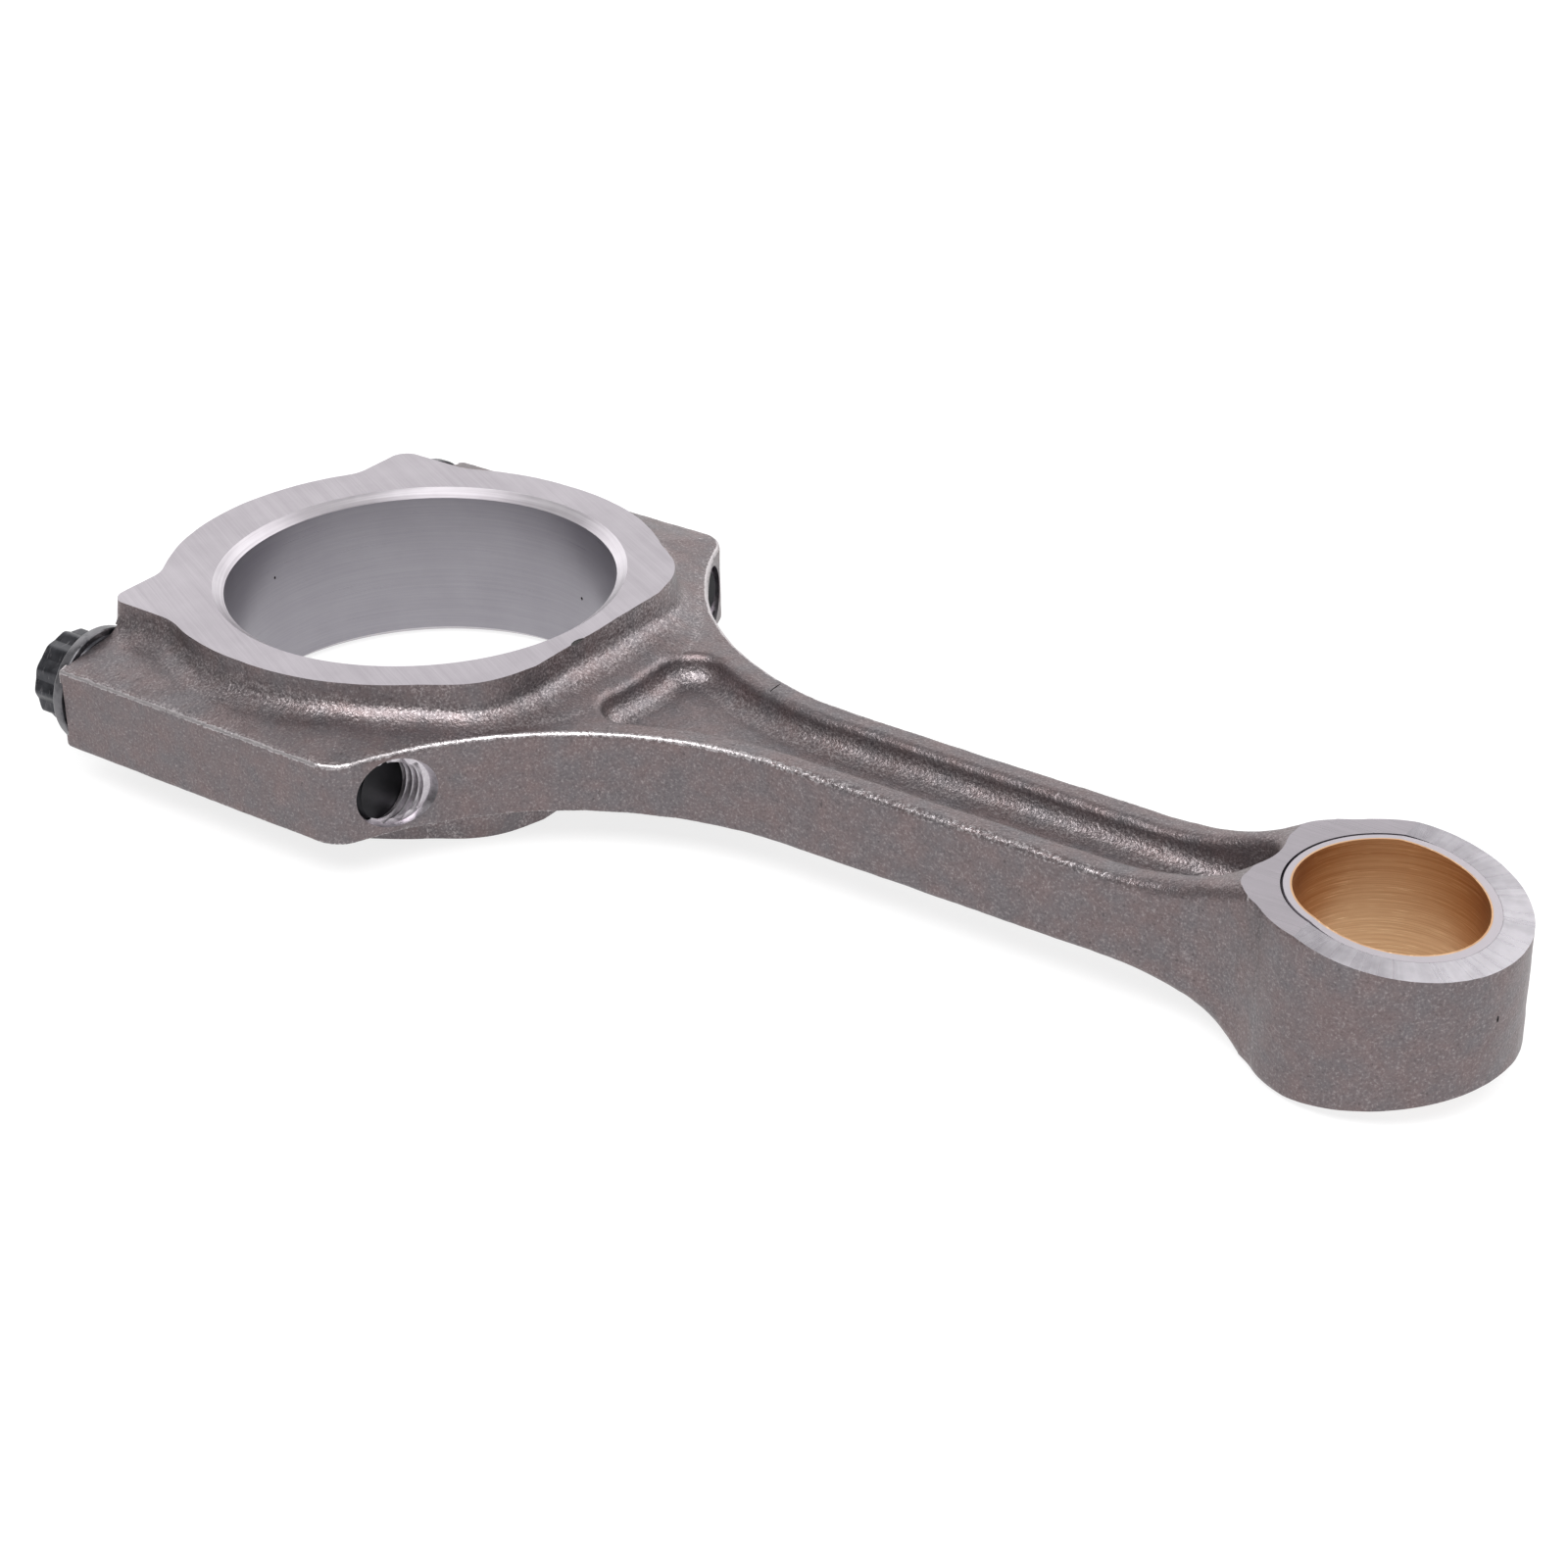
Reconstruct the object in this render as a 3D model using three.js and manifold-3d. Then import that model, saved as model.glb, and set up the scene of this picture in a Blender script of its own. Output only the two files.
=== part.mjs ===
// Automotive connecting rod, lying on its side: rod body, fracture-split cap, two cap bolts, pin bush.
// Millimetres. Inside the group, X runs from the crank bore axis to the pin bore axis, Z is along the
// bores and z = 0 is the middle plane. The group is moved so that its box stands on z = 0.
import * as THREE from 'three';
import { mergeVertices, toCreasedNormals } from 'three/addons/utils/BufferGeometryUtils.js';
import Module from 'manifold-3d';

const wasm = await Module();
wasm.setup();

// Driving dimensions
const CENTRES = 144;                 // crank bore axis to pin bore axis
const CRANK_BORE_R = 26.25;
const PIN_BORE_R = 11.15;
const BUSH_WALL = 1.3;
const BUSH_FIT = 0.1;                // radial gap that keeps the bush and its housing apart
const BIG_HALF = 11.15;              // half of the thickness between the thrust faces
const SMALL_HALF = 10.55;            // half of the small end's thickness beside the shank
const RING_R = 32.9;                 // outer radius of the big-end ring at its thrust faces
const HALF_WIDTH = 40.7;             // bore axis to the outer side of the bolt shoulders
const SEAT_X = -27;                  // seat of the bolt heads
const BOLT_Y = 33;                   // bore axis to each bolt axis

// Crank bore and ring
const CRANK_CHAMFER_R = 1.45;
const CRANK_CHAMFER_Z = 1.05;
const CROWN_SHIFT = 2.4;             // the cap's crown is the ring moved this far along -X
const RING_STOP_X = 30.3;            // the ring's thrust face ends here on the shank side
const RING_DRAFT = 0.6;
const WING_X = -29.3;                // flat end of the cap's thrust face above the bolt heads
const WING_HALF = 29;
const WING_CORNER_R = 4.1;
const LOBE_X = 29.9;                 // corners of the rod's thrust face beside the shank
const LOBE_HALF = 24.9;
const LOBE_CORNER_R = 10.7;

// Fillet from the ring's wall to the shoulders: [height, distance outside the thrust face's edge]
const FOOT = [
  [9.6, 0.35], [8.7, 0.7], [8.0, 1.15], [7.5, 1.9],
  [7.2, 3.0], [7.05, 4.4], [6.4, 6.6], [5.4, 9.5],
];

// Shoulders and flanks
const SIDE_HALF = 5.8;               // half height of the shoulders' outer sides
const SHOULDER_HALF = 7.1;           // half height of the shoulders inside their sloping border
const BORDER = 3.5;                  // width of that sloping border
const SHOULDER_CORNER_R = 2;
const FLANK_R = 47;                  // concave flank from shoulder to shank
const FLANK_X = 65;                  // the flank runs out into the straight shank here

// Shank and its pockets
const SHANK_HALF_WIDTH = 8.45;
const SHANK_HALF = 5.72;
const EDGE_ROUND = 0.5;
const RAIL = 3.6;                    // width of each rail beside the pocket
const WEB_HALF = 2.1;
const POCKET_END_R = 34.6;           // end wall beside the ring, about the crank bore axis
const POCKET_CORNER_R = 3.5;
const POCKET_TIP_X = 124;            // centre of the round end near the small end
const POCKET_TIP_R = 4.4;
const POCKET_WALL = [[12, 0], [SHANK_HALF, 0], [3.6, 0.3], [2.9, 0.6], [2.4, 1.1], [WEB_HALF, 1.8]];

// Small end
const EYE_R = 16;
const EYE_FILLET_R = 20;
const EYE_FILLET_X = 122;
const FLARE_X = 110;                 // the shank's top starts to rise here
const FLARE_R = 39;
const TAPER_X = 139.7;               // the end narrows from here to its tip
const TAPER_SLOPE = 0.16;

// Bolts
const THREAD_R = 4.25;
const TAPPED_R = 4.6;
const SHANK_R = 4.4;
const BOLT_HOLE_R = 4.85;
const BOLT_TIP_X = 21.8;
const TIP_CHAMFER = 0.8;
const THREAD_START_X = 3;
const FLANGE_R = 8.14;
const FLANGE_RIM = 1.8;
const FLANGE_CONE_X = -30.2;
const CONE_TOP_R = 6.6;
const HEAD_END_X = -34.9;
const HEAD_FLATS = 11;               // across the flats of the double hexagon
const HEAD_CHAMFER = 0.7;
const SPOTFACE_R = 8.6;

const REACH = 60;                    // longer than any feature, for cutters
const BORE_SEGMENTS = 72;
const BOLT_SEGMENTS = 40;

// ---- Solids ----

function solidOf(geometry) {
  const bare = geometry.clone();
  bare.deleteAttribute('normal');
  bare.deleteAttribute('uv');
  const merged = mergeVertices(bare, 1e-5);
  const mesh = new wasm.Mesh({
    numProp: 3,
    vertProperties: new Float32Array(merged.attributes.position.array),
    triVerts: new Uint32Array(merged.index.array),
  });
  return new wasm.Manifold(mesh);
}

function geometryOf(solid) {
  const { vertProperties, triVerts } = solid.getMesh();
  const geometry = new THREE.BufferGeometry();
  geometry.setAttribute('position', new THREE.BufferAttribute(new Float32Array(vertProperties), 3));
  geometry.setIndex(new THREE.BufferAttribute(new Uint32Array(triVerts), 1));
  return geometry;
}

function meshOf(name, solid, material) {
  const mesh = new THREE.Mesh(toCreasedNormals(geometryOf(solid), Math.PI / 6), material);
  mesh.name = name;
  return mesh;
}

function union(solids) {
  return solids.reduce((joined, solid) => joined.add(solid));
}

function box(low, high) {
  const size = new THREE.Vector3().subVectors(high, low);
  const centre = new THREE.Vector3().addVectors(low, high).multiplyScalar(0.5);
  const geometry = new THREE.BoxGeometry(size.x, size.y, size.z);
  geometry.translate(centre.x, centre.y, centre.z);
  return solidOf(geometry);
}

// Closed solid through outlines of equal point count, from the lowest level to the highest.
function loft(levels) {
  const count = levels[0].outline.length;
  const positions = levels.flatMap(({ z, outline }) => outline.flatMap((point) => [point.x, point.y, z]));
  const triangles = [];
  for (let level = 0; level + 1 < levels.length; level += 1) {
    for (let i = 0; i < count; i += 1) {
      const next = (i + 1) % count;
      const low = level * count;
      const high = low + count;
      triangles.push(low + i, low + next, high + next);
      triangles.push(low + i, high + next, high + i);
    }
  }
  const top = (levels.length - 1) * count;
  for (const [a, b, c] of THREE.ShapeUtils.triangulateShape(levels[0].outline, [])) {
    triangles.push(c, b, a);
  }
  for (const [a, b, c] of THREE.ShapeUtils.triangulateShape(levels.at(-1).outline, [])) {
    triangles.push(top + a, top + b, top + c);
  }
  const geometry = new THREE.BufferGeometry();
  geometry.setAttribute('position', new THREE.Float32BufferAttribute(positions, 3));
  geometry.setIndex(triangles);
  return solidOf(geometry);
}

// Loft that is the same above and below the middle plane; steps are [z, value], highest first.
function mirroredLoft(steps, outlineOf) {
  const above = steps.map(([z, value]) => ({ z, outline: outlineOf(value) }));
  const below = steps.map(([z, value]) => ({ z: -z, outline: outlineOf(value) }));
  return loft([...below, ...above.reverse()]);
}

function prism(outline, half) {
  return loft([{ z: -half, outline }, { z: half, outline }]);
}

// Solid turned about Z; profile points are [radius, height] and close on the axis.
function turned(profile, segments, x = 0) {
  const geometry = new THREE.LatheGeometry(profile.map(([r, z]) => new THREE.Vector2(r, z)), segments);
  geometry.rotateX(Math.PI / 2);
  geometry.translate(x, 0, 0);
  return solidOf(geometry);
}

// Solid turned about a bolt axis, which runs along X; profile points are [radius, x].
function turnedAlongX(profile, side) {
  const geometry = new THREE.LatheGeometry(profile.map(([r, x]) => new THREE.Vector2(r, x)), BOLT_SEGMENTS);
  geometry.rotateZ(-Math.PI / 2);
  geometry.translate(0, side * BOLT_Y, 0);
  return solidOf(geometry);
}

// ---- Outlines ----

function arc(centre, radius, from, to, steps) {
  return Array.from({ length: steps + 1 }, (_, i) => {
    const angle = from + ((to - from) * i) / steps;
    return new THREE.Vector2(centre.x + radius * Math.cos(angle), centre.y + radius * Math.sin(angle));
  });
}

// Closes an upper half outline with its mirror image; the half runs from one end of the X axis to the other.
function mirrored(half) {
  const offAxis = half.filter((point) => Math.abs(point.y) > 1e-6);
  const lower = offAxis.map((point) => new THREE.Vector2(point.x, -point.y));
  const outline = [...half, ...lower.reverse()];
  return THREE.ShapeUtils.isClockWise(outline) ? outline.reverse() : outline;
}

function circle(x, radius, segments) {
  return arc(new THREE.Vector2(x, 0), radius, 0, 2 * Math.PI, segments).slice(0, -1);
}

// Meeting point of two circles that lies nearer the X axis.
function meeting(centreA, radiusA, centreB, radiusB) {
  const between = new THREE.Vector2().subVectors(centreB, centreA);
  const distance = between.length();
  const along = (radiusA ** 2 - radiusB ** 2 + distance ** 2) / (2 * distance);
  const across = Math.sqrt(radiusA ** 2 - along ** 2);
  const foot = centreA.clone().addScaledVector(between, along / distance);
  const sideways = new THREE.Vector2(-between.y, between.x).multiplyScalar(across / distance);
  const first = foot.clone().add(sideways);
  const second = foot.clone().sub(sideways);
  return Math.abs(first.y) < Math.abs(second.y) ? first : second;
}

function angleTo(from, to) {
  return Math.atan2(to.y - from.y, to.x - from.x);
}

const ORIGIN = new THREE.Vector2(0, 0);
const EYE = new THREE.Vector2(CENTRES, 0);
const FLANK = new THREE.Vector2(FLANK_X, SHANK_HALF_WIDTH + FLANK_R);
const EYE_FILLET = new THREE.Vector2(EYE_FILLET_X, SHANK_HALF_WIDTH + EYE_FILLET_R);

// Rod seen along the bores, from the seat of the bolt heads to the tip of the small end.
function rodOutline(inset = 0) {
  const cornerY = HALF_WIDTH - SHOULDER_CORNER_R;
  const cornerX = FLANK_X - Math.sqrt((FLANK_R + SHOULDER_CORNER_R) ** 2 - (FLANK.y - cornerY) ** 2);
  const corner = new THREE.Vector2(cornerX, cornerY);
  const cornerEnd = angleTo(corner, FLANK);
  const eyeStart = angleTo(EYE, EYE_FILLET);
  return mirrored([
    new THREE.Vector2(SEAT_X, HALF_WIDTH - inset),
    ...arc(corner, Math.max(SHOULDER_CORNER_R - inset, 0.05), Math.PI / 2, cornerEnd, 4),
    ...arc(FLANK, FLANK_R + inset, cornerEnd + Math.PI, 1.5 * Math.PI, 14).slice(1),
    ...arc(EYE_FILLET, EYE_FILLET_R + inset, 1.5 * Math.PI, eyeStart + Math.PI, 6),
    ...arc(EYE, EYE_R - inset, eyeStart, 0, 18).slice(1),
  ]);
}

// Raised part of one shoulder, inside its sloping border.
function shoulderOutline(side, inset) {
  const inner = LOBE_HALF - 4;
  const outer = HALF_WIDTH - inset;
  const flank = FLANK_R + inset;
  const from = Math.asin((outer - FLANK.y) / flank);
  const to = Math.asin((inner - FLANK.y) / flank);
  const outline = [
    new THREE.Vector2(SEAT_X, inner),
    new THREE.Vector2(SEAT_X, outer),
    ...arc(FLANK, flank, Math.PI - from, Math.PI - to, 6),
  ].map((point) => new THREE.Vector2(point.x, side * point.y));
  return THREE.ShapeUtils.isClockWise(outline) ? outline.reverse() : outline;
}

function ringOutline(offset) {
  const stop = Math.acos((RING_STOP_X + offset) / (RING_R + offset));
  return arc(ORIGIN, RING_R + offset, stop, 2 * Math.PI - stop, 64);
}

function roundedEnd(low, high, half, radius, steps) {
  const corner = new THREE.Vector2(low < 0 ? low + radius : high - radius, half - radius);
  const rounded = arc(corner, radius, Math.PI / 2, low < 0 ? Math.PI : 0, steps);
  const square = new THREE.Vector2(low < 0 ? high : low, half);
  return mirrored([square, ...rounded]);
}

function wingOutline(offset) {
  return roundedEnd(WING_X - offset, 0, WING_HALF + offset, WING_CORNER_R + offset, 5);
}

function lobeOutline(offset) {
  return roundedEnd(0, LOBE_X + offset, LOBE_HALF + offset, LOBE_CORNER_R + offset, 8);
}

function pocketOutline(inset) {
  const sideR = FLANK_R + RAIL;
  const corner = meeting(ORIGIN, POCKET_END_R + POCKET_CORNER_R, FLANK, sideR + POCKET_CORNER_R);
  const wallEnd = angleTo(ORIGIN, corner);
  const sideStart = angleTo(corner, FLANK);
  const tip = new THREE.Vector2(POCKET_TIP_X, 0);
  return mirrored([
    ...arc(ORIGIN, POCKET_END_R + inset, 0, wallEnd, 4),
    ...arc(corner, POCKET_CORNER_R - inset, wallEnd + Math.PI, sideStart, 6).slice(1),
    ...arc(FLANK, sideR + inset, sideStart + Math.PI, 1.5 * Math.PI, 10).slice(1),
    ...arc(tip, POCKET_TIP_R - inset, Math.PI / 2, 0, 6),
  ]);
}

// Half height of the rod along X, from the shoulders to the narrowing tip of the small end.
function heightProfile() {
  const flare = new THREE.Vector2(FLARE_X, SHANK_HALF + FLARE_R);
  const rise = Math.acos((flare.y - SMALL_HALF) / FLARE_R);
  const tipX = CENTRES + EYE_R + 1;
  return mirrored([
    new THREE.Vector2(SEAT_X, SHANK_HALF),
    ...arc(flare, FLARE_R, 1.5 * Math.PI, 1.5 * Math.PI + rise, 10),
    new THREE.Vector2(TAPER_X, SMALL_HALF),
    new THREE.Vector2(tipX, SMALL_HALF - TAPER_SLOPE * (tipX - TAPER_X)),
  ]);
}

// ---- Forging, before it is machined ----

function heightEnvelope() {
  const geometry = new THREE.ExtrudeGeometry(new THREE.Shape(heightProfile()), {
    depth: 2 * REACH,
    bevelEnabled: false,
  });
  geometry.rotateX(Math.PI / 2);
  geometry.translate(0, REACH, 0);
  return solidOf(geometry);
}

function shank(envelope) {
  const edge = SHANK_HALF - EDGE_ROUND;
  const rounded = mirroredLoft([[SHANK_HALF, EDGE_ROUND], [edge, 0]], rodOutline);
  const eyeStart = new THREE.Vector3(FLARE_X, -REACH, -REACH);
  const eyeOnly = box(eyeStart, new THREE.Vector3(CENTRES + REACH, REACH, REACH));
  const eye = prism(rodOutline(), BIG_HALF).intersect(envelope).intersect(eyeOnly);
  return rounded.add(eye);
}

function shoulders() {
  const steps = [[SHOULDER_HALF, BORDER], [SIDE_HALF, 0]];
  return union([-1, 1].map((side) => mirroredLoft(steps, (inset) => shoulderOutline(side, inset))));
}

function ring() {
  const walls = [[BIG_HALF, 0], [SHOULDER_HALF, RING_DRAFT]];
  const crown = (offset) => circle(-CROWN_SHIFT, RING_R + offset, BORE_SEGMENTS);
  const outlines = [ringOutline, crown, wingOutline, lobeOutline];
  const core = union(outlines.map((outline) => mirroredLoft(walls, outline)));
  const foot = union([ringOutline, wingOutline, lobeOutline].map((outline) => mirroredLoft(FOOT, outline)));
  return core.add(foot.intersect(prism(rodOutline(), SHOULDER_HALF + BIG_HALF)));
}

function pockets() {
  const cutter = (flip) => {
    const levels = POCKET_WALL.map(([z, inset]) => ({ z: flip * z, outline: pocketOutline(inset) }));
    return loft(flip > 0 ? levels.reverse() : levels);
  };
  return cutter(1).add(cutter(-1));
}

// ---- Machining ----

function crankBore() {
  const rim = BIG_HALF - CRANK_CHAMFER_Z;
  const wide = CRANK_BORE_R + CRANK_CHAMFER_R;
  const slope = CRANK_CHAMFER_R / CRANK_CHAMFER_Z;
  const beyond = wide + slope;
  return turned([
    [0, -BIG_HALF - 1], [beyond, -BIG_HALF - 1], [CRANK_BORE_R, -rim],
    [CRANK_BORE_R, rim], [beyond, BIG_HALF + 1], [0, BIG_HALF + 1],
  ], BORE_SEGMENTS);
}

function bushHousing() {
  const radius = PIN_BORE_R + BUSH_WALL + BUSH_FIT;
  return turned([[0, -REACH], [radius, -REACH], [radius, REACH], [0, REACH]], BORE_SEGMENTS, CENTRES);
}

function boltCuts(side) {
  const through = [
    [0, -REACH], [BOLT_HOLE_R, -REACH], [BOLT_HOLE_R, 0], [TAPPED_R, 0], [TAPPED_R, REACH], [0, REACH],
  ];
  const spotface = [[0, -REACH], [SPOTFACE_R, -REACH], [SPOTFACE_R, SEAT_X], [0, SEAT_X]];
  return turnedAlongX(through, side).add(turnedAlongX(spotface, side));
}

function machinedForging() {
  const forging = union([shank(heightEnvelope()), shoulders(), ring()]);
  const cuts = union([pockets(), crankBore(), bushHousing(), boltCuts(-1), boltCuts(1)]);
  return forging.subtract(cuts);
}

function half(solid, low, high) {
  return solid.intersect(box(new THREE.Vector3(low, -REACH, -REACH), new THREE.Vector3(high, REACH, REACH)));
}

// ---- Loose pieces ----

function bush() {
  const outer = PIN_BORE_R + BUSH_WALL;
  const tube = turned([[0, -REACH], [outer, -REACH], [outer, REACH], [0, REACH]], BORE_SEGMENTS, CENTRES);
  const hole = [[0, -REACH], [PIN_BORE_R, -REACH], [PIN_BORE_R, REACH], [0, REACH]];
  const bore = turned(hole, BORE_SEGMENTS, CENTRES);
  return tube.intersect(heightEnvelope()).subtract(bore);
}

function doubleHexagon(flats) {
  const corner = flats / 2 / Math.cos(Math.PI / 6);
  const notch = flats / 2 / Math.cos(Math.PI / 12);
  return Array.from({ length: 24 }, (_, i) => {
    const radius = i % 2 ? notch : corner;
    const angle = (i * Math.PI) / 12;
    return new THREE.Vector2(radius * Math.cos(angle), radius * Math.sin(angle));
  });
}

function boltHead(side) {
  const full = doubleHexagon(HEAD_FLATS);
  const small = doubleHexagon(HEAD_FLATS - 2 * HEAD_CHAMFER);
  const height = -(HEAD_END_X - FLANGE_CONE_X);
  const star = loft([
    { z: -1, outline: full },
    { z: height - HEAD_CHAMFER, outline: full },
    { z: height, outline: small },
  ]);
  const geometry = geometryOf(star);
  geometry.rotateY(-Math.PI / 2);
  geometry.translate(FLANGE_CONE_X, side * BOLT_Y, 0);
  return solidOf(geometry);
}

function bolt(side) {
  const stem = turnedAlongX([
    [0, HEAD_END_X + HEAD_CHAMFER], [CONE_TOP_R - 2, HEAD_END_X + HEAD_CHAMFER],
    [CONE_TOP_R - 2, FLANGE_CONE_X], [CONE_TOP_R, FLANGE_CONE_X], [FLANGE_R, SEAT_X - FLANGE_RIM], [FLANGE_R, SEAT_X], [SHANK_R, SEAT_X],
    [SHANK_R, THREAD_START_X], [THREAD_R, THREAD_START_X + 1], [THREAD_R, BOLT_TIP_X - TIP_CHAMFER],
    [THREAD_R - TIP_CHAMFER, BOLT_TIP_X], [0, BOLT_TIP_X],
  ], side);
  return stem.add(boltHead(side));
}

// ---- Materials and assembly ----

const forgedSteel = new THREE.MeshStandardMaterial({ color: 0x7d7472, roughness: 0.55, metalness: 0.8 });
const blackSteel = new THREE.MeshStandardMaterial({ color: 0x2b2a2c, roughness: 0.4, metalness: 0.8 });
const bronze = new THREE.MeshStandardMaterial({ color: 0xb07a48, roughness: 0.35, metalness: 0.9 });

const machined = machinedForging();
const rod = new THREE.Group();
rod.add(meshOf('rod_body', half(machined, 0, CENTRES + REACH), forgedSteel));
rod.add(meshOf('big_end_cap', half(machined, -REACH, 0), forgedSteel));
rod.add(meshOf('cap_bolt_near', bolt(-1), blackSteel));
rod.add(meshOf('cap_bolt_far', bolt(1), blackSteel));
rod.add(meshOf('small_end_bush', bush(), bronze));

const bounds = new THREE.Box3().setFromObject(rod);
const centre = bounds.getCenter(new THREE.Vector3());
rod.position.set(-centre.x, -centre.y, -bounds.min.z);

export default rod;
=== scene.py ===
"""Forged automotive connecting rod, lying on its thrust faces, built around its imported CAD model.

Shapes are worked out in millimetres in the rod's own axes: X runs from the crank bore's axis to the
pin bore's axis, Z is along the bores and z = 0 is the middle plane. Each finished mesh is then moved
into the frame's metres. The raw forging comes from one distance function, so its fillets, drafts and
rounded edges are true shape; everything machined is cut out of it with solid cutters.
"""

import math

import bpy
import numpy as np
from mathutils import Matrix, Vector


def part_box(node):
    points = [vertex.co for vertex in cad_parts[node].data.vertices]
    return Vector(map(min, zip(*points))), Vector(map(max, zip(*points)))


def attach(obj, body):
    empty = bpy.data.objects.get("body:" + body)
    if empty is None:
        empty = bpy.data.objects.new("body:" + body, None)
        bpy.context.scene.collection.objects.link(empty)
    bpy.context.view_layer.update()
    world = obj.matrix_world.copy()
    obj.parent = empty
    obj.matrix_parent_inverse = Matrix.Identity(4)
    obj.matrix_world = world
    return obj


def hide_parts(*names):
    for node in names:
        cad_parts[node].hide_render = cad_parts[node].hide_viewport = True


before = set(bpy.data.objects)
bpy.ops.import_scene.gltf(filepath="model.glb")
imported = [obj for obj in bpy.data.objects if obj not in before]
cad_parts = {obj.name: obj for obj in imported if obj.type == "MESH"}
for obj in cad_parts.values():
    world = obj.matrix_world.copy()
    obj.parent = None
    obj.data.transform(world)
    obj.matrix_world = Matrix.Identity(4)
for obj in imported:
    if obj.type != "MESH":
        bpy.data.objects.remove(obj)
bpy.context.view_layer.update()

# ---- Driving sizes, in millimetres ----

CENTRES = 144.0                # crank bore axis to pin bore axis
CRANK_BORE_R = 26.25
PIN_BORE_R = 11.15
BIG_HALF = 11.15               # half of the thickness between the thrust faces
SMALL_HALF = 10.55             # half of the small end's thickness beside the shank
RING_R = 32.9
HALF_WIDTH = 40.7
SEAT_X = -27.0
BOLT_Y = 33.0

CRANK_CHAMFER_R = 1.45
CRANK_CHAMFER_Z = 1.05
CRANK_OVERCUT = 2.0            # height of the bore's cutter past the thrust face
CROWN_SHIFT = 2.4              # the cap's crown is the ring moved this far along -X
WING_X = -28.8
WING_HALF = 29.3
WING_CORNER_R = 2.5
LOBE_X = 29.9
LOBE_HALF = 24.9
LOBE_CORNER_R = 12.0
RING_STOP_X = 30.3             # the ring ends here on the shank side
RING_BLEND = 0.8               # blend in plan where the wings and lobes leave the ring
RING_DRAFT = 0.12              # slope of the ring's forged wall
RING_FOOT_R = 2.8              # fillet between that wall and the shoulders
STOCK = 1.6                    # forged height left above each face for machining
SEAT_STOCK = 0.6

SIDE_HALF = 5.75               # half height of the shoulders' outer edges
SHOULDER_HALF = 7.15
BORDER_SLOPE = math.radians(20)
BORDER_R = 2.5
SHOULDER_CORNER_R = 3.0
SHOULDER_END_X = 24.0          # the shoulders fall away towards the shank from here
SHOULDER_FALL = math.radians(20)
FOOT_REACH = 3.4               # the ring's foot starts to fall this far outside its wall
FOOT_FALL = math.radians(20)
FLANK_R = 47.0
FLANK_X = 65.0

SHANK_HALF_WIDTH = 8.45
SHANK_HALF = 5.72
EDGE_R = 0.55
RAIL = 3.6
WEB_HALF = 2.1
POCKET_END_R = 36.6
POCKET_CORNER_R = 4.8
POCKET_TIP_X = 124.0
POCKET_TIP_R = 4.4
POCKET_DRAFT = 0.2
POCKET_FLOOR_R = 2.4
POCKET_RIM_R = 1.1

EYE_R = 16.0
EYE_FILLET_R = 20.0
EYE_FILLET_X = 122.0
FLARE_X = 110.0
FLARE_R = 39.0
SHANK_EDGE_R = 0.5             # the edges grow rounder by this much along the shank
SHANK_EDGE_X = (45, 85)
FLARE_EDGE_R = 1.5             # and by this much more beside the eye
TAPER_X = 139.7
TAPER_SLOPE = 0.16

BUSH_WALL = 1.3
BUSH_LINING = 0.22             # bronze on the bush's steel back
BUSH_LEAD = 0.3                # chamfer on the bush's outer edge
BUSH_FIT = 0.03

THREAD_PITCH = 1.0
THREAD_MINOR_R = 3.96
THREAD_MAJOR_R = 4.56
THREAD_CREST = 0.125           # flat on the thread's crest, as a share of the pitch
THREAD_FLANK = math.radians(30)
THREAD_CLEARANCE = 0.1
BOLT_HOLE_R = 4.85
BOLT_SHANK_R = 4.4
THREAD_START_X = 3.0
MOUTH_R = 4.75                 # plain mouth of the tapped hole
MOUTH_DEPTH = 0.9              # of that mouth below the flank it opens through
BOLT_TIP_X = 21.4
TIP_CHAMFER = 0.55
FLANGE_R = 8.14
FLANGE_X = -28.85              # outer edge of the flange's rim
CONE_X = -30.2
CONE_TOP_R = 6.6
HEAD_END_X = -34.9
HEAD_FLATS = 11.0
HEAD_CHAMFER = 0.7
HEAD_BLUNT = 0.12              # taken off the head's twelve points
HEAD_STEP = 2.5                # degrees between points of the head's outline
WASHER_R = 7.3                 # bearing face under the flange
SPOTFACE_R = 8.6

FRACTURE_STEP = 0.5
FRACTURE_MARGIN = 4            # of the broken surface past the forging's outline
FRACTURE_DEPTH = 0.12
SKIN_WAVE = 0.035              # unevenness of the forged skin
SKIN_WAVES = [(6, 20, 1.0), (2.2, 30, 0.5)]         # length, count and share of its waves
FRACTURE_WAVES = [(2.4, 12, 1.0), (0.9, 16, 0.5)]

# Dents and pits: [place, half sizes]
DENTS = [
    [(30.75, -4.4, BIG_HALF), (0.75, 1.4, 0.4)],
    [(52.7, 7.8, SHANK_HALF + 0.05), (0.12, 1.6, 0.3)],
    [(159.57, -3.7, 0.87), (0.35, 0.2, 0.45)],
    [(6.6, 25.45, -1.3), (0.25, 0.3, 0.25)],
    [(-26.3, -1.3, 3.7), (0.3, 0.22, 0.22)],
]

BEND_REACH = 0.3               # distance over which the skin's bending is measured
UNDERSIDE_EDGE_SHADE = 0.55               # painted shade: the edges' brightening is weaker on the underside, where the floor beneath lies in shadow
CREASE = 28                    # degrees between machined faces that shade as a corner

# Colours of the forged skin, linear
SKIN_WARM = (0.197, 0.154, 0.155)
SKIN_GREY = (0.170, 0.154, 0.162)
SKIN_DARK = (0.085, 0.072, 0.076)
# light specks of the grain; also the colour of the painted highlight in the hollows
SKIN_SPECK_AND_SHEEN = (0.42, 0.38, 0.385)
# bare steel on rubbed edges, also a painted highlight along them
RUBBED_EDGE_AND_HIGHLIGHT = (0.50, 0.465, 0.475)

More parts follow.
